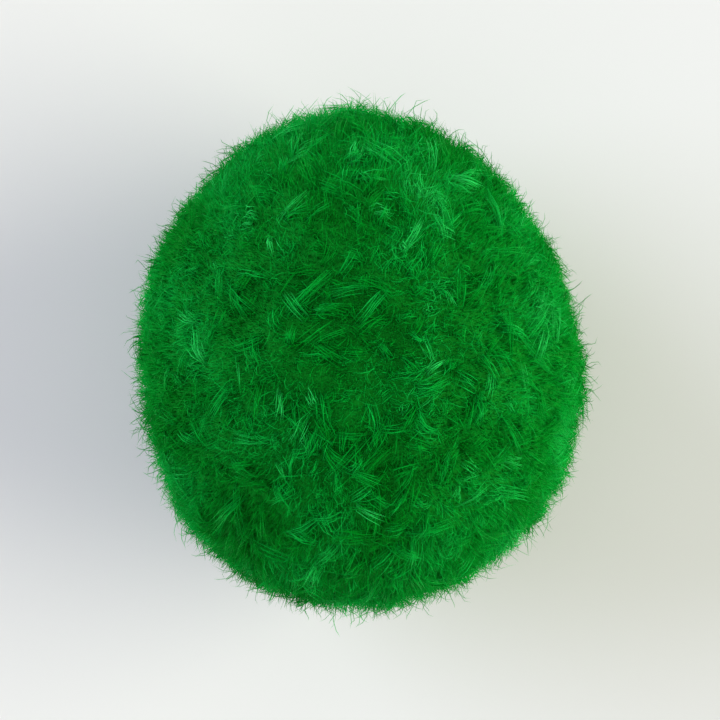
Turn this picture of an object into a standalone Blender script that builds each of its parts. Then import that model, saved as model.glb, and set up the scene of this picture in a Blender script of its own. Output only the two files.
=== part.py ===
"""A yarn pom pom: cut yarn bound at its middle and trimmed to an uneven ball.

The ball lies on the floor, the plane z = 0, with the origin at the middle of its
small flat spot. Its yarn stands in locks, which run from the bound middle to the
trimmed surface and stand apart from each other all the way down to it.
"""

import math
import random

import bmesh
import bpy
from mathutils import Vector, noise

MM = 0.001

# The ball over its trimmed ends, before its bulges and pressed places
WIDTH = 25.4 * MM
LENGTH = 28.4 * MM
HEIGHT = 24.6 * MM
REST_RADIUS = 4.5 * MM

# Where the ball bulges or is pressed flatter.
# Azimuth is counted from +X towards +Y and elevation from the horizon up.
SWELLS = (
    # azimuth, elevation, rise, spread
    (38.0, 5.0, -0.65 * MM, 26.0),
    (322.0, -5.0, 0.60 * MM, 28.0),
    (236.0, 5.0, 0.40 * MM, 26.0),
    (118.0, 0.0, 0.25 * MM, 24.0),
    (186.0, -20.0, -0.30 * MM, 24.0),
    (70.0, 50.0, -0.30 * MM, 22.0),
    (250.0, 52.0, 0.25 * MM, 24.0),
    (0.0, 90.0, -0.25 * MM, 20.0),
)

# The locks, which share the sphere round the bound middle: each of an icosahedron's
# twenty faces falls into three kites, and each kite into four locks
KITE_DIVISIONS = 2
LOCKS = 20 * 3 * 4
LOCK_ANGLE = math.sqrt(4 * math.pi / LOCKS)
ROOT_REACH = 0.50

# Each lock's sections beyond its root, as the reach towards the surface and the width
# against the place that the lock has there, for a free lock and for one on the floor
SECTIONS = (
    # reach, free width, resting width
    (0.66, 0.93, 0.93),
    (0.82, 0.94, 0.94),
    (0.92, 0.86, 0.92),
    (0.968, 0.61, 0.86),
    (1.0, 0.22, 0.74),
)

# How unevenly the locks are placed, cut and bent
PLACE_SPREAD = 0.17 * LOCK_ANGLE
SHORTEST_LOCK = 0.965
TIP_SHIFT = 0.12 * LOCK_ANGLE
CURL = math.radians(3.2)
CURL_WAVES = 1.9
SEED = 7

# Locks that point down more steeply than this keep to their even places
EVEN_BELOW = -0.80
UNEVEN_ABOVE = -0.45

GREEN = (0.004, 0.155, 0.013, 1.0)
ROUGHNESS = 0.9

# What is nearer the floor than this lies right on it
FLOOR_ROUNDING = 0.0001 * MM

# The ball's middle is as high as leaves the flat spot its radius
MEAN_HALF_WIDTH = (WIDTH + LENGTH) / 4
SAG = math.sqrt(1 - (REST_RADIUS / MEAN_HALF_WIDTH) ** 2)
HALF_HEIGHT = HEIGHT / (1 + SAG)
CENTRE = Vector((0.0, 0.0, HEIGHT - HALF_HEIGHT))
HALF_SIZES = (WIDTH / 2, LENGTH / 2, HALF_HEIGHT)


def clear_scene():
    for obj in list(bpy.data.objects):
        bpy.data.objects.remove(obj)


def towards(azimuth, elevation):
    """The unit vector at these angles, in degrees."""
    turn = math.radians(azimuth)
    rise = math.radians(elevation)
    return Vector((math.cos(rise) * math.cos(turn), math.cos(rise) * math.sin(turn), math.sin(rise)))


def unevenness(direction):
    """0 for locks that stand on the floor, rising to 1 for those clear of it."""
    share = (direction.z - EVEN_BELOW) / (UNEVEN_ABOVE - EVEN_BELOW)
    share = min(max(share, 0.0), 1.0)
    return share * share * (3 - 2 * share)


def untrimmed_radius(direction):
    """From the middle to the ball's surface, as if there were no floor."""
    radius = 1 / math.sqrt(sum((direction[i] / HALF_SIZES[i]) ** 2 for i in range(3)))
    for azimuth, elevation, rise, spread in SWELLS:
        angle = math.degrees(direction.angle(towards(azimuth, elevation)))
        radius += rise * math.exp(-((angle / spread) ** 2))
    return radius


def floor_radius(direction):
    """From the middle to the floor, or no limit for a direction that misses it."""
    return CENTRE.z / -direction.z if direction.z < 0 else math.inf


def surface_radius(direction):
    return min(untrimmed_radius(direction), floor_radius(direction))


def curled(direction, reach):
    """A direction bent sideways, more and more towards the lock's tip."""
    bend = CURL * unevenness(direction) * (reach - ROOT_REACH) / (1 - ROOT_REACH)
    wave = noise.noise_vector(direction * CURL_WAVES)
    sideways = wave - direction * wave.dot(direction)
    return (direction + sideways * bend).normalized()


def lock_places(rng):
    """A sphere of radius 1 in four-sided faces, one for each lock, with one right at the bottom."""
    bpy.ops.mesh.primitive_ico_sphere_add(subdivisions=1, radius=1)
    cage = bpy.context.object
    divide = cage.modifiers.new("kites", "SUBSURF")
    divide.subdivision_type = "SIMPLE"
    divide.levels = KITE_DIVISIONS
    divide.render_levels = KITE_DIVISIONS
    divided = cage.evaluated_get(bpy.context.evaluated_depsgraph_get())
    bm = bmesh.new()
    bm.from_mesh(divided.to_mesh())
    bpy.data.objects.remove(cage)
    for vert in bm.verts:
        vert.co.normalize()
    lowest = min((face.calc_center_median().normalized() for face in bm.faces), key=lambda c: c.z)
    turn = lowest.rotation_difference(Vector((0, 0, -1)))
    for vert in bm.verts:
        even = turn @ vert.co
        step = Vector([rng.uniform(-1, 1) for _ in range(3)]) * PLACE_SPREAD
        vert.co = (even + step * unevenness(even)).normalized()
    return bm


def width_at(section, resting):
    """A lock's width against its place, all of which it fills at its root."""
    if section < 0:
        return 1.0
    _, free_width, resting_width = SECTIONS[section]
    return resting_width if resting else free_width


def extend_lock(face, section):
    """Moves a lock's newest end out to this section of it."""
    directions = [vert.co.normalized() for vert in face.verts]
    middle = sum(directions, Vector()).normalized()
    resting = untrimmed_radius(middle) >= floor_radius(middle)
    narrowing = width_at(section, resting) / width_at(section - 1, resting)
    reach = SECTIONS[section][0]
    for vert, direction in zip(face.verts, directions):
        vert.co = (middle + (direction - middle) * narrowing).normalized() * reach


def trim_lock(tip, rng):
    """Cuts a lock a little short and sets its tip sideways, except on the floor."""
    uneven = unevenness(tip.calc_center_median().normalized())
    reach = 1 - (1 - SHORTEST_LOCK) * uneven * rng.random()
    shift = Vector([rng.uniform(-1, 1) for _ in range(3)]) * TIP_SHIFT * uneven
    for vert in tip.verts:
        vert.co = (vert.co.normalized() + shift).normalized() * reach


def placed(vert):
    """The real place of a point of the pile, which was shaped in a ball of radius 1."""
    reach = vert.co.length
    direction = curled(vert.co.normalized(), reach)
    place = CENTRE + direction * (reach * surface_radius(direction))
    if abs(place.z) < FLOOR_ROUNDING:
        place.z = 0.0
    return place


def pile_mesh():
    """All the locks, fused at their roots, the same ones each time."""
    rng = random.Random(SEED)
    noise.seed_set(SEED)
    bm = lock_places(rng)
    for vert in bm.verts:
        vert.co *= ROOT_REACH
    ends = bm.faces[:]
    for section in range(len(SECTIONS)):
        ends = bmesh.ops.extrude_discrete_faces(bm, faces=ends)["faces"]
        for face in ends:
            extend_lock(face, section)
    for tip in ends:
        trim_lock(tip, rng)
    for vert in bm.verts:
        vert.co = placed(vert)
    mesh = bpy.data.meshes.new("pile")
    bm.to_mesh(mesh)
    bm.free()
    return mesh


def yarn_material():
    material = bpy.data.materials.new("green_yarn")
    material.use_nodes = True
    shader = material.node_tree.nodes["Principled BSDF"]
    shader.inputs["Base Color"].default_value = GREEN
    shader.inputs["Roughness"].default_value = ROUGHNESS
    shader.inputs["Metallic"].default_value = 0.0
    return material


def build():
    clear_scene()
    collection = bpy.data.collections.new("Yarn pom pom")
    bpy.context.scene.collection.children.link(collection)
    pile = bpy.data.objects.new("pile", pile_mesh())
    pile.data.materials.append(yarn_material())
    collection.objects.link(pile)


build()
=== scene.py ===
"""A green yarn pom pom on a pale floor, seen from straight above.

The tips of the pile's locks give the ball its outer form. They are smoothed into one
trimmed surface, and the fibres of the pile grow out to it from a matted inside.
"""

import math

import bpy
import numpy as np
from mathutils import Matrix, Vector, noise
from mathutils.bvhtree import BVHTree


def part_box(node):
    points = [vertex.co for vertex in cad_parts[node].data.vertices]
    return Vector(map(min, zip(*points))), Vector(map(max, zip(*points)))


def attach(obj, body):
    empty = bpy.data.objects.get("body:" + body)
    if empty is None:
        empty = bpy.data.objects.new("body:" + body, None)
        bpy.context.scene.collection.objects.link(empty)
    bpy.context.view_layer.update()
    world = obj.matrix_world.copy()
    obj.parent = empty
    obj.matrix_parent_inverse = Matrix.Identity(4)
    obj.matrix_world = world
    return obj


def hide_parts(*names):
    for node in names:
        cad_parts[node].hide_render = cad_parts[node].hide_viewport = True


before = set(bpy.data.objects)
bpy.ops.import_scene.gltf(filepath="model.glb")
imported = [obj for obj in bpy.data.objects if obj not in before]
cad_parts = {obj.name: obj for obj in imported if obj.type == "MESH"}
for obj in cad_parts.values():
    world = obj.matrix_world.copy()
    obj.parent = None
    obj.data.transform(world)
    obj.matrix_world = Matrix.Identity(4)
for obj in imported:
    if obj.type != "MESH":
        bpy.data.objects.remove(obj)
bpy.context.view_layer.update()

MM = 0.001
LOW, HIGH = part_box("pile")
MIDDLE = np.array([0.0, 0.0, (LOW.z + HIGH.z) / 2])
BALL_RADIUS = (HIGH - LOW).length / (2 * math.sqrt(3))

# What is left to chance in the pile comes out the same each time
SEED = 21
rng = np.random.default_rng(SEED)
noise.seed_set(SEED)

# The trimmed surface starts as a ball that is wider than the pile. It is drawn in onto
# the tips of the locks, and then smoothed over the dips between them.
SKIN_DIVISIONS = 6
SKIN_START = 1.4 * BALL_RADIUS
SKIN_EASING = 0.5
SKIN_PASSES = 40

# Points of the locks that are nearer to each other than this are one
SAME_POINT = 0.0001 * MM

# Heights in the pile are shares of the way from the ball's middle to its trimmed
# surface. The fibres have their roots just under the matted inside.
MAT_REACH = 0.968
ROOT_REACH = 0.953

# How fibres come up steeply and then lie over
DROOP = 1.4
LEAN_GROWTH = 1.6

# The pile's soft hills and hollows, its paler and darker patches, and the ways it is
# combed. A drift has broad waves with finer ones laid over them, and each drift is read
# at a place of its own in the noise.
DRIFT_WAVES = 2.6
FINER_WAVES = 2.1
DRIFT_RISE = 0.024
RISE_PLACE = 3.1
DRIFT_SHADE = 0.42
SHADE_PLACE = 7.7
COMB_WAVES = 3.2

# Where light and shade are painted on the pile: mostly paler patches round its sides and darker ones
# near its top, painted light and painted shade.
# Azimuth is counted from +X towards +Y and elevation from the horizon up.
PAINTED_LIGHT_AND_SHADE_PLACES = (
    # azimuth, elevation, paler by, spread
    (14.0, 36.0, 0.18, 15.0),
    (338.0, 42.0, 0.16, 13.0),
    (70.0, 47.0, 0.08, 12.0),
    (92.0, 34.0, 0.14, 14.0),
    (180.0, 47.0, 0.20, 13.0),
    (280.0, 38.0, 0.12, 16.0),
    (139.0, 41.0, 0.10, 10.0),
    (346.0, 63.0, -0.14, 9.0),
    (46.0, 78.0, -0.12, 9.0),
    (113.0, 60.0, -0.10, 10.0),
    (163.0, 62.0, -0.12, 9.0),
    (232.0, 30.0, -0.08, 16.0),
)

# Every kind of fibre below comes in its number of pieces, each of so many fibres. Its
# stations are shares of a fibre's length, and its taper is how much of the radius is
# left at each. Spread is how far aside its roots are set, lean is how far over its tips
# go, and crimp and turns are how wide and how often it curls. Reach is the height of its
# tips and rise is how unevenly they pass it. Its shade is from 0 for dark to 1 for pale.

# The short fibres that fill the pile
SHORT_PIECES = 2
SHORT_FIBRES = 48000
SHORT_STATIONS = (0.0, 1.0)
SHORT_TAPER = (1.0, 0.0)
SHORT_RADIUS = 0.034 * MM
SHORT_SPREAD = 0.06 * MM
SHORT_LEAN = 0.22 * MM
SHORT_COMBED = 0.30 * MM
SHORT_REACH = 0.987
SHORT_RISE = 0.028
SHORT_SHADE = 0.34

# The wisps, each a pinch of cut fibres that bend and curl together. They stray from
# places an even pitch apart. Some stand up, and a share of them has been brushed over
# and laid along the surface, where each gets a painted highlight of its own amount.
WISP_PITCH = 0.92 * MM
WISP_STRAY = 0.60 * WISP_PITCH
WISP_SPREAD = 0.165 * MM
WISP_PINCH = 0.25
WISP_LEAN = 0.35 * MM
WISP_CRIMP = 0.26 * MM
WISP_TURNS = 0.6
WISP_RISE = 0.008
WISP_SHADE = 0.13
LAID_SHARE = 0.60
LAID_LEAN = 1.10 * MM
LAID_COMBED = 1.40
LAID_RISE = 0.016
LAID_PAINTED_HIGHLIGHT = 0.15
LAID_EVENNESS = 2.0

# The cut fibres of the wisps
CUT_PIECES = 2
CUT_FIBRES = 11800
CUT_STATIONS = (0.0, 0.36, 0.68, 1.0)
CUT_TAPER = (1.0, 1.0, 0.9, 0.0)
CUT_RADIUS = 0.026 * MM
CUT_LEAN = 0.17 * MM
CUT_CRIMP = 0.12 * MM
CUT_TURNS = 0.6
CUT_REACH = 1.002
CUT_UNEVENNESS = 0.015
CUT_SHADE = 0.36

# Finer fibres that have left the wisps, and lie across the surface or stand out of it
LOOSE_PIECES = 2
LOOSE_FIBRES = 4700
LOOSE_STATIONS = (0.0, 0.30, 0.55, 0.78, 1.0)
LOOSE_TAPER = (1.0, 1.0, 0.95, 0.85, 0.0)
LOOSE_RADIUS = 0.018 * MM
LOOSE_SPREAD = 0.10 * MM
LOOSE_LEAN = 0.55 * MM
LOOSE_CRIMP = 0.30 * MM
LOOSE_TURNS = 0.9
LOOSE_REACH = 1.010
LOOSE_RISE = 0.033
LOOSE_SHADE = 0.45

# How much the fibres of one kind differ, in size and in shade
LEAST_SIZE = 0.5
GREATEST_SIZE = 1.3
SHADE_UNEVENNESS = 0.04

# Fibres under the ball are bent over at different heights just clear of the floor
FLOOR_CLEARANCE = 0.02 * MM
FLOOR_SQUASH = 0.02

# A fibre's place on its map is its shade across and its height up, inside a margin. Its
# faces have a little width there, for which its corners are turned so that no two of
# them fall together, and the face that closes its root has a little height.
MAP_MARGIN = 0.01
MAP_SPAN = 0.98
FACE_WIDTH = 0.003
CORNER_TURN = math.pi / 6
ROOT_FACE_HEIGHT = 0.004

# The greens of a fibre from its darkest shade to its palest, and how much of its green it
# shows from its root to its tip, darker towards the root as painted shade deep in the pile
FIBRE_GREENS = (
    (0.0, (0.0001, 0.275, 0.012)),
    (0.38, (0.0001, 0.360, 0.025)),
    (0.70, (0.0035, 0.520, 0.062)),
    (1.0, (0.0320, 0.775, 0.145)),
)
FIBRE_PAINTED_ROOT_SHADE = ((0.0, 0.55), (0.5, 0.80), (1.0, 1.0))
FIBRE_GLOSS = {
    "Roughness": 0.6,
    "Specular IOR Level": 0.12,
    "Specular Tint": (0.04, 1.0, 0.22, 1.0),
    "Sheen Weight": 0.10,
    "Sheen Tint": (0.02, 1.0, 0.16, 1.0),
}

# The matted inside, whose packed strands are a fine noise, in greens darker than the fibres' as
# painted shade deep in the pile
MAT_PAINTED_SHADE_GREENS = ((0.36, (0.0001, 0.160, 0.007)), (0.64, (0.0002, 0.245, 0.016)))
MAT_STRANDS = {"Scale": 5200.0, "Detail": 4.0, "Roughness": 0.62, "Distortion": 1.6}
MAT_RELIEF = {"Strength": 0.7, "Distance": 0.05 * MM}
MAT_GLOSS = {"Roughness": 0.8, "Specular IOR Level": 0.1}

# The floor is a wide disc
FLOOR_RADIUS = 4.0
FLOOR_SIDES = 96
FLOOR_FINISH = {
    "Base Color": (0.80, 0.80, 0.80, 1.0),
    "Roughness": 0.85,
    "Specular IOR Level": 0.0,
}

# Soft screens stand on two sides, each as wide as this angle, in a white tent that is
# brightest near the floor. Past the floor the camera sees an even backdrop.
SCREEN_ANGLE = 50.0
SCREENS = (
    # name, azimuth, elevation, strength, colour
    ("key", 0, 25, 2.85, (1.0, 1.0, 0.80)),
    ("second", 158, 25, 1.90, (0.97, 1.0, 1.22)),
)
TENT = (
    # height, from 0 at the horizon to 1 overhead, and brightness
    (0.0, 0.80),
    (0.25, 0.72),
    (0.5, 0.55),
    (0.75, 0.42),
    (1.0, 0.36),
)
TENT_STRENGTH = 1.08
BACKDROP_BRIGHTNESS = 0.92

# The camera looks straight down, and the ball fills this share of the picture
LENS = 150.0
SENSOR = 36.0
BALL_SHARE = 0.70


def deselect_all():
    if bpy.context.mode != "OBJECT":
        bpy.ops.object.mode_set(mode="OBJECT")
    bpy.ops.object.select_all(action="DESELECT")


def select_only(obj):
    deselect_all()
    obj.select_set(True)
    bpy.context.view_layer.objects.active = obj


def apply_modifier(obj, kind, **settings):
    select_only(obj)
    modifier = obj.modifiers.new(kind.lower(), kind)
    for name, value in settings.items():
        setattr(modifier, name, value)
    bpy.ops.object.modifier_apply(modifier=modifier.name)


def unit(vectors):
    return vectors / np.linalg.norm(vectors, axis=-1, keepdims=True)


# ---------------------------------------------------------------- the ball's outer form


def trimmed_hull():
    """The pile's own tips, joined into one closed skin."""
    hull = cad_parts["pile"].copy()
    hull.data = hull.data.copy()
    bpy.context.scene.collection.objects.link(hull)
    hull.hide_render = False
    hull.hide_viewport = False
    select_only(hull)
    bpy.ops.object.mode_set(mode="EDIT")
    bpy.ops.mesh.select_all(action="SELECT")
    bpy.ops.mesh.remove_doubles(threshold=SAME_POINT)
    bpy.ops.mesh.convex_hull()
    bpy.ops.object.mode_set(mode="OBJECT")
    return hull


def trimmed_ball():
    """The ball as the scissors left it, smooth and closed."""
    hull = trimmed_hull()
    deselect_all()
    bpy.ops.mesh.primitive_ico_sphere_add(
        subdivisions=SKIN_DIVISIONS, radius=SKIN_START, location=MIDDLE.tolist()
    )
    ball = bpy.context.object
    bpy.ops.object.transform_apply(location=True, rotation=True, scale=True)
    apply_modifier(
        ball,
        "SHRINKWRAP",
        target=hull,
        wrap_method="PROJECT",
        use_negative_direction=True,
        use_positive_direction=False,
    )
    apply_modifier(ball, "SMOOTH", factor=SKIN_EASING, iterations=SKIN_PASSES)
    bpy.data.objects.remove(hull)
    return ball


class Surface:
    """How far the trimmed surface is from the ball's middle, in any direction."""

    ROWS = 121
    COLUMNS = 240

    def __init__(self, ball):
        tree = BVHTree.FromObject(ball, bpy.context.evaluated_depsgraph_get())
        polar = np.linspace(0, math.pi, self.ROWS)
        turn = np.linspace(0, 2 * math.pi, self.COLUMNS, endpoint=False)
        self.table = np.empty((self.ROWS, self.COLUMNS + 1))
        middle = Vector(MIDDLE)
        for row, p in enumerate(polar):
            for column, t in enumerate(turn):
                way = Vector((math.sin(p) * math.cos(t), math.sin(p) * math.sin(t), math.cos(p)))
                self.table[row, column] = tree.ray_cast(middle, way)[3]
        self.table[:, -1] = self.table[:, 0]

    def radius(self, ways):
        """The distances in these directions, read between the table's rows and columns."""
        row = np.arccos(ways[..., 2].clip(-1, 1)) / math.pi * (self.ROWS - 1)
        column = np.arctan2(ways[..., 1], ways[..., 0]) % (2 * math.pi)
        column = column / (2 * math.pi) * self.COLUMNS
        top = np.minimum(row.astype(int), self.ROWS - 2)
        left = np.minimum(column.astype(int), self.COLUMNS - 1)
        down, across = row - top, column - left
        upper = self.table[top, left] * (1 - across) + self.table[top, left + 1] * across
        lower = self.table[top + 1, left] * (1 - across) + self.table[top + 1, left + 1] * across
        return upper * (1 - down) + lower * down


def even_ways(count):
    """Directions that share a sphere evenly, in a golden-angle spiral round the X axis."""
    index = np.arange(count) + 0.5
    along = 1 - 2 * index / count
    turn = index * math.pi * (3 - math.sqrt(5))
    ring = np.sqrt(1 - along * along)
    return np.stack([along, ring * np.cos(turn), ring * np.sin(turn)], 1)


def along_surface(steps, ways):
    """These steps without the part of them that points in or out of the ball."""
    return steps - ways * (steps * ways).sum(1, keepdims=True)


def sideways(ways, size):
    """Random steps along the surface, at right angles to each direction."""
    return along_surface(rng.normal(0, size, ways.shape), ways)


# ---------------------------------------------------------------- how the pile lies


def drift(ways, place):
    """A smooth random value from about -1 to 1 for each direction."""
    aside = Vector((place, 2 * place, 3 * place))
    return np.array([
        noise.noise(Vector(way) * DRIFT_WAVES + aside)
        + noise.noise(Vector(way) * FINER_WAVES * DRIFT_WAVES + aside)
        for way in ways
    ])


def hills(ways):
    """How much higher the pile stands in each direction than its trimmed surface."""
    return DRIFT_RISE * drift(ways, RISE_PLACE)


def combing(ways):
    """Which way along the surface the pile is combed, at each direction."""
    steps = np.array([noise.noise_vector(Vector(way) * COMB_WAVES) for way in ways])
    return along_surface(steps, ways)


def tone_and_painted_light(ways):
    """How much paler the pile is in each direction than its own middle shade: a random drift of its
    tone, plus painted light and painted shade at the listed places.
    """
    paler = DRIFT_SHADE * drift(ways, SHADE_PLACE)
    # Painted light and painted shade, paler or darker around each listed place
    for azimuth, elevation, amount, spread in PAINTED_LIGHT_AND_SHADE_PLACES:
        turn, rise = math.radians(azimuth), math.radians(elevation)
        place = (math.cos(rise) * math.cos(turn), math.cos(rise) * math.sin(turn), math.sin(rise))
        angle = np.degrees(np.arccos((ways @ np.array(place)).clip(-1, 1)))
        paler += amount * np.exp(-((angle / spread) ** 2))
    return paler


def uneven(size, count):
    """This size for each of so many fibres, more or less."""
    return size * rng.uniform(LEAST_SIZE, GREATEST_SIZE, count)


def tapered(radius, taper, count):
    """The radii of so many fibres at their stations."""
    return uneven(radius, count)[:, None] * np.array([taper])


def own_shades(shade, paler):
    """A shade for each fibre, from 0 for dark to 1 for pale, near that of its kind and place."""
    return (shade + paler + rng.normal(0, SHADE_UNEVENNESS, len(paler))).clip(0, 1)


def crimps(ways, size, most_turns, stations):
    """A curl for each direction: the steps sideways that it takes a fibre at each station."""
    count = len(ways)
    one = unit(sideways(ways, 1.0))
    other = np.cross(ways, one)
    turns = uneven(most_turns / GREATEST_SIZE, count) * rng.choice([-1, 1], count)
    phase = rng.uniform(0, 2 * math.pi, count)
    share = np.array(stations)
    turned = (2 * math.pi * turns[:, None] * share + phase[:, None])[..., None]
    steps = np.cos(turned) * one[:, None] + np.sin(turned) * other[:, None]
    return uneven(size, count)[:, None, None] * np.sqrt(share)[:, None] * steps


def fibre_paths(ways, roots, leans, curls, lifts, tips, stations, surface):
    """The middle lines of fibres that rise from the matted inside, lean and curl.

    tips are the heights that the fibres would reach on a pile with no hills, and lifts
    are how much higher the hills set them.
    """
    share = np.array(stations)[None, :, None]
    steps = roots[:, None] + leans[:, None] * share ** LEAN_GROWTH + curls
    toward = unit(ways[:, None] + steps / BALL_RADIUS)
    risen = 1 - (1 - share) ** DROOP
    reach = lifts[:, None, None] + ROOT_REACH + (tips[:, None, None] - ROOT_REACH) * risen
    places = toward * surface.radius(toward)[..., None] * reach
    room = (MIDDLE[2] - FLOOR_CLEARANCE) * (1 - FLOOR_SQUASH * rng.random((len(ways), 1)))
    fit = np.minimum(1, room / np.maximum(-places[..., 2], room))
    return MIDDLE + places * fit[..., None]


# ---------------------------------------------------------------- kinds of fibres


def short_fibres(ways, surface):
    """Paths, widths and shades of the short fibres that stand close all over the ball."""
    roots = sideways(ways, SHORT_SPREAD)
    leans = sideways(ways, SHORT_LEAN) + SHORT_COMBED * combing(ways)
    tips = SHORT_REACH + np.abs(rng.normal(0, SHORT_RISE, len(ways)))
    paths = fibre_paths(ways, roots, leans, 0.0, hills(ways), tips, SHORT_STATIONS, surface)
    widths = tapered(SHORT_RADIUS, SHORT_TAPER, len(ways))
    return paths, widths, own_shades(SHORT_SHADE, tone_and_painted_light(ways))


def all_wisps():
    """Where the wisps stand, how they lean and curl, how far they reach and how pale they are."""
    count = int(4 * math.pi * (BALL_RADIUS / WISP_PITCH) ** 2)
    ways = even_ways(count)
    ways = unit(ways + sideways(ways, WISP_STRAY / BALL_RADIUS))
    laid = rng.random(count) < LAID_SHARE
    over = LAID_LEAN * (sideways(ways, 1.0) + LAID_COMBED * combing(ways))
    # The laid wisps get a painted highlight, paler by a random amount each
    paler = LAID_PAINTED_HIGHLIGHT * laid * rng.gamma(LAID_EVENNESS, 1 / LAID_EVENNESS, count)
    return {
        "way": ways,
        "lean": np.where(laid[:, None], over, sideways(ways, WISP_LEAN)),
        "curl": crimps(ways, WISP_CRIMP, WISP_TURNS, CUT_STATIONS),
        "lift": hills(ways),
        "rise": LAID_RISE * laid + rng.normal(0, WISP_RISE, count),
        "paler": tone_and_painted_light(ways) + paler + rng.normal(0, WISP_SHADE, count),
    }


def cut_fibres(count, surface, wisps):
    """Paths, widths and shades of cut fibres that share out the wisps."""
    held = rng.integers(0, len(wisps["way"]), count)
    ways = wisps["way"][held]
    roots = sideways(ways, WISP_SPREAD)
    leans = wisps["lean"][held] - WISP_PINCH * roots + sideways(ways, CUT_LEAN)
    curls = wisps["curl"][held] + crimps(ways, CUT_CRIMP, CUT_TURNS, CUT_STATIONS)
    tips = CUT_REACH + wisps["rise"][held] + rng.normal(0, CUT_UNEVENNESS, count)
    lifts = wisps["lift"][held]
    paths = fibre_paths(ways, roots, leans, curls, lifts, tips, CUT_STATIONS, surface)
    widths = tapered(CUT_RADIUS, CUT_TAPER, count)
    return paths, widths, own_shades(CUT_SHADE, wisps["paler"][held])


def loose_fibres(count, surface):
    """Paths, widths and shades of the finer fibres that curl on their own."""
    ways = unit(rng.normal(size=(count, 3)))
    roots = sideways(ways, LOOSE_SPREAD)
    leans = sideways(ways, LOOSE_LEAN)
    curls = crimps(ways, LOOSE_CRIMP, LOOSE_TURNS, LOOSE_STATIONS)
    tips = LOOSE_REACH + np.abs(rng.normal(0, LOOSE_RISE, count))
    paths = fibre_paths(ways, roots, leans, curls, hills(ways), tips, LOOSE_STATIONS, surface)
    widths = tapered(LOOSE_RADIUS, LOOSE_TAPER, count)
    return paths, widths, own_shades(LOOSE_SHADE, tone_and_painted_light(ways))


# ---------------------------------------------------------------- fibres as meshes


def fibre_template(stations):
    """One fibre with three sides, upright, 1 long: its points as ring and angle, and its faces."""
    joints = len(stations) - 1
    deselect_all()
    bpy.ops.mesh.primitive_cone_add(vertices=3, radius1=1, radius2=0, depth=1, location=(0, 0, 0.5))
    fibre = bpy.context.object
    bpy.ops.object.transform_apply(location=True, rotation=True, scale=True)
    bpy.ops.object.mode_set(mode="EDIT")
    for joint in range(1, joints):
        bpy.ops.mesh.select_all(action="SELECT")
        bpy.ops.mesh.bisect(plane_co=(0, 0, joint / joints), plane_no=(0, 0, 1))
    bpy.ops.object.mode_set(mode="OBJECT")
    points = np.array([v.co for v in fibre.data.vertices])
    ring = (points[:, 2] * joints).round().astype(int)
    angle = np.arctan2(points[:, 1], points[:, 0])
    faces = [list(p.vertices) for p in fibre.data.polygons]
    bpy.data.objects.remove(fibre)
    return ring, angle, faces


def fibre_points(paths, widths, ring, angle):
    """The template's points for every fibre, set round its path."""
    along = np.empty_like(paths)
    along[:, 1:-1] = paths[:, 2:] - paths[:, :-2]
    along[:, 0] = paths[:, 1] - paths[:, 0]
    along[:, -1] = paths[:, -1] - paths[:, -2]
    along = unit(along)
    aside = unit(np.cross(along, unit(rng.normal(size=(len(paths), 1, 3)))))
    across = np.cross(along, aside)
    reach = widths[:, ring, None]
    points = paths[:, ring] + reach * (
        np.cos(angle)[None, :, None] * aside[:, ring] + np.sin(angle)[None, :, None] * across[:, ring]
    )
    points[..., 2] = np.maximum(points[..., 2], FLOOR_CLEARANCE)
    return points


def place_on_map(mesh, shades, ring, angle, faces):
    """Lays every fibre out on the mesh's map, by its shade and by the height along it."""
    corners = np.concatenate([np.array(f) for f in faces])
    at_root = np.concatenate([np.arange(len(f)) * float(max(ring[f]) == 0) for f in faces])
    aside = FACE_WIDTH * np.sin(angle[corners] - CORNER_TURN)
    across = MAP_MARGIN + MAP_SPAN * shades[:, None] + aside
    up = MAP_MARGIN + MAP_SPAN * (ring[corners] / max(ring)) + ROOT_FACE_HEIGHT * at_root
    up = np.broadcast_to(up, across.shape)
    layer = mesh.uv_layers.new(name="OFBake")
    layer.uv.foreach_set("vector", np.stack([across, up], 2).astype(np.float32).ravel())


def planted(name, fibres, template):
    """One mesh of a fibre along each path, with a radius for each of its rings and one shade."""
    paths, widths, shades = fibres
    ring, angle, faces = template
    points = fibre_points(paths, widths, ring, angle)
    first = len(ring) * np.arange(len(paths))[:, None]
    corners = (np.concatenate([np.array(f) for f in faces])[None, :] + first).ravel()
    sizes = np.tile([len(f) for f in faces], len(paths))
    starts = np.concatenate([[0], np.cumsum(sizes)[:-1]])
    mesh = bpy.data.meshes.new(name)
    mesh.vertices.add(points.size // 3)
    mesh.vertices.foreach_set("co", points.astype(np.float32).ravel())
    mesh.loops.add(len(corners))
    mesh.loops.foreach_set("vertex_index", corners.astype(np.int32))
    mesh.polygons.add(len(sizes))
    mesh.polygons.foreach_set("loop_start", starts.astype(np.int32))
    mesh.update(calc_edges=True)
    mesh.validate()
    mesh.polygons.foreach_set("use_smooth", np.ones(len(sizes), bool))
    place_on_map(mesh, shades, ring, angle, faces)
    piece = bpy.data.objects.new(name, mesh)
    bpy.context.scene.collection.objects.link(piece)
    return piece


# ---------------------------------------------------------------- finishes


def new_material(name):
    material = bpy.data.materials.new(name)
    material.use_nodes = True
    return material, material.node_tree.nodes, material.node_tree.links


def set_inputs(node, values):
    for name, value in values.items():
        node.inputs[name].default_value = value


def ramp(nodes, stops):
    """A blend of colours, each with its place from 0 to 1."""
    node = nodes.new("ShaderNodeValToRGB")
    while len(node.color_ramp.elements) < len(stops):
        node.color_ramp.elements.new(0.5)
    for element, (place, colour) in zip(node.color_ramp.elements, stops):
        element.position = place
        element.color = (*colour, 1.0)
    return node


def grey_ramp(nodes, stops):
    return ramp(nodes, [(place, (level, level, level)) for place, level in stops])


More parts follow.
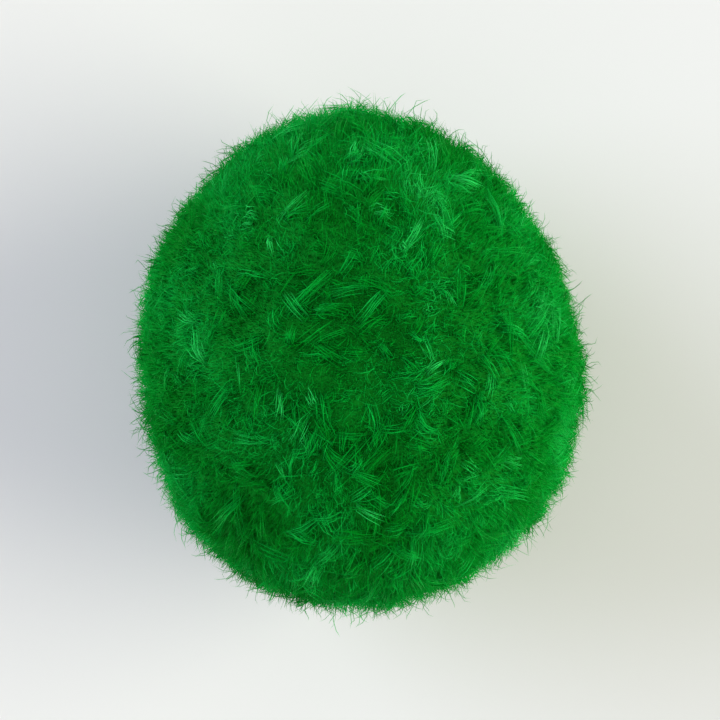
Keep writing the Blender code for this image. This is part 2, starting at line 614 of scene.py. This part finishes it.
def fibre_finish():
    """Green acrylic, each fibre in its own shade, which holds the painted light and shade of its
    place, with painted shade darker towards the root.
    """
    material, nodes, links = new_material("cut_green_fibre")
    shader = nodes["Principled BSDF"]
    place = nodes.new("ShaderNodeUVMap")
    place.uv_map = "OFBake"
    parts = nodes.new("ShaderNodeSeparateXYZ")
    links.new(place.outputs["UV"], parts.inputs["Vector"])
    shade = ramp(nodes, FIBRE_GREENS)
    links.new(parts.outputs["X"], shade.inputs["Fac"])
    # Painted shade: each fibre is darker towards its root
    depth = grey_ramp(nodes, FIBRE_PAINTED_ROOT_SHADE)
    links.new(parts.outputs["Y"], depth.inputs["Fac"])
    mixed = nodes.new("ShaderNodeMix")
    mixed.data_type = "RGBA"
    mixed.blend_type = "MULTIPLY"
    mixed.inputs["Factor"].default_value = 1.0
    links.new(shade.outputs["Color"], mixed.inputs["A"])
    links.new(depth.outputs["Color"], mixed.inputs["B"])
    links.new(mixed.outputs["Result"], shader.inputs["Base Color"])
    set_inputs(shader, FIBRE_GLOSS)
    return material


def mat_finish():
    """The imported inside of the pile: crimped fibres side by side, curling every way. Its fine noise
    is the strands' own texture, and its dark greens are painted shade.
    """
    material, nodes, links = new_material("packed_green_pile")
    shader = nodes["Principled BSDF"]
    place = nodes.new("ShaderNodeTexCoord")
    strands = nodes.new("ShaderNodeTexNoise")
    set_inputs(strands, MAT_STRANDS)
    links.new(place.outputs["Object"], strands.inputs["Vector"])
    # Painted shade: the inside is a darker green than the fibres
    tone = ramp(nodes, MAT_PAINTED_SHADE_GREENS)
    links.new(strands.outputs["Fac"], tone.inputs["Fac"])
    links.new(tone.outputs["Color"], shader.inputs["Base Color"])
    bump = nodes.new("ShaderNodeBump")
    set_inputs(bump, MAT_RELIEF)
    links.new(strands.outputs["Fac"], bump.inputs["Height"])
    links.new(bump.outputs["Normal"], shader.inputs["Normal"])
    set_inputs(shader, MAT_GLOSS)
    return material


def floor_finish():
    material, nodes, _ = new_material("pale_floor")
    set_inputs(nodes["Principled BSDF"], FLOOR_FINISH)
    return material


def wear(piece, material):
    piece.data.materials.clear()
    piece.data.materials.append(material)
    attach(piece, "root")


# ---------------------------------------------------------------- the pom pom


def make_mat(mat):
    """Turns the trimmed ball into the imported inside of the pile, with its hills and hollows."""
    mat.name = "packed_pile"
    mat.data.name = "packed_pile"
    points = np.array([v.co for v in mat.data.vertices]) - MIDDLE
    points = MIDDLE + points * (MAT_REACH + hills(unit(points)))[:, None]
    points[:, 2] = np.maximum(points[:, 2], FLOOR_CLEARANCE)
    mat.data.vertices.foreach_set("co", points.astype(np.float32).ravel())
    mat.data.update()
    select_only(mat)
    bpy.ops.object.shade_smooth()
    wear(mat, mat_finish())
    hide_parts("pile")


def make_pom_pom():
    ball = trimmed_ball()
    surface = Surface(ball)
    make_mat(ball)
    finish = fibre_finish()
    template = fibre_template(SHORT_STATIONS)
    ways = even_ways(SHORT_PIECES * SHORT_FIBRES)
    for number in range(SHORT_PIECES):
        fibres = short_fibres(ways[number::SHORT_PIECES], surface)
        wear(planted(f"short_fibres_{number + 1}", fibres, template), finish)
    template = fibre_template(CUT_STATIONS)
    wisps = all_wisps()
    for number in range(CUT_PIECES):
        fibres = cut_fibres(CUT_FIBRES, surface, wisps)
        wear(planted(f"cut_fibres_{number + 1}", fibres, template), finish)
    template = fibre_template(LOOSE_STATIONS)
    for number in range(LOOSE_PIECES):
        fibres = loose_fibres(LOOSE_FIBRES, surface)
        wear(planted(f"loose_fibres_{number + 1}", fibres, template), finish)


# ---------------------------------------------------------------- the studio


def make_floor():
    deselect_all()
    bpy.ops.mesh.primitive_circle_add(
        vertices=FLOOR_SIDES, radius=FLOOR_RADIUS, fill_type="NGON", location=(0, 0, 0)
    )
    floor = bpy.context.object
    floor.name = "floor"
    floor.data.materials.append(floor_finish())


def make_screens():
    """Light from two sides, as from large soft screens."""
    for name, azimuth, elevation, strength, colour in SCREENS:
        light = bpy.data.lights.new(name, "SUN")
        light.color = colour
        light.angle = math.radians(SCREEN_ANGLE)
        light.energy = strength
        lamp = bpy.data.objects.new(name, light)
        lamp.rotation_euler = (0, math.radians(90 - elevation), math.radians(azimuth))
        bpy.context.scene.collection.objects.link(lamp)


def make_tent():
    """The tent's own light, and the even brightness that the camera sees behind the floor."""
    world = bpy.data.worlds.new("studio")
    world.use_nodes = True
    bpy.context.scene.world = world
    nodes, links = world.node_tree.nodes, world.node_tree.links
    way = nodes.new("ShaderNodeTexCoord")
    parts = nodes.new("ShaderNodeSeparateXYZ")
    links.new(way.outputs["Generated"], parts.inputs["Vector"])
    tent = grey_ramp(nodes, TENT)
    links.new(parts.outputs["Z"], tent.inputs["Fac"])
    fill = nodes["Background"]
    links.new(tent.outputs["Color"], fill.inputs["Color"])
    fill.inputs["Strength"].default_value = TENT_STRENGTH
    seen = nodes.new("ShaderNodeBackground")
    set_inputs(seen, {"Color": (1.0, 1.0, 1.0, 1.0), "Strength": BACKDROP_BRIGHTNESS})
    path = nodes.new("ShaderNodeLightPath")
    either = nodes.new("ShaderNodeMixShader")
    links.new(path.outputs["Is Camera Ray"], either.inputs["Fac"])
    links.new(fill.outputs["Background"], either.inputs[1])
    links.new(seen.outputs["Background"], either.inputs[2])
    links.new(either.outputs["Shader"], nodes["World Output"].inputs["Surface"])


def make_camera():
    data = bpy.data.cameras.new("from_above")
    data.lens = LENS
    data.sensor_width = SENSOR
    camera = bpy.data.objects.new("from_above", data)
    across = max(HIGH.x - LOW.x, HIGH.y - LOW.y) / BALL_SHARE
    camera.location = (0, 0, MIDDLE[2] + across * LENS / SENSOR)
    bpy.context.scene.collection.objects.link(camera)
    bpy.context.scene.camera = camera


make_camera()
make_pom_pom()
make_floor()
make_screens()
make_tent()
bpy.context.scene.view_settings.view_transform = "Standard"
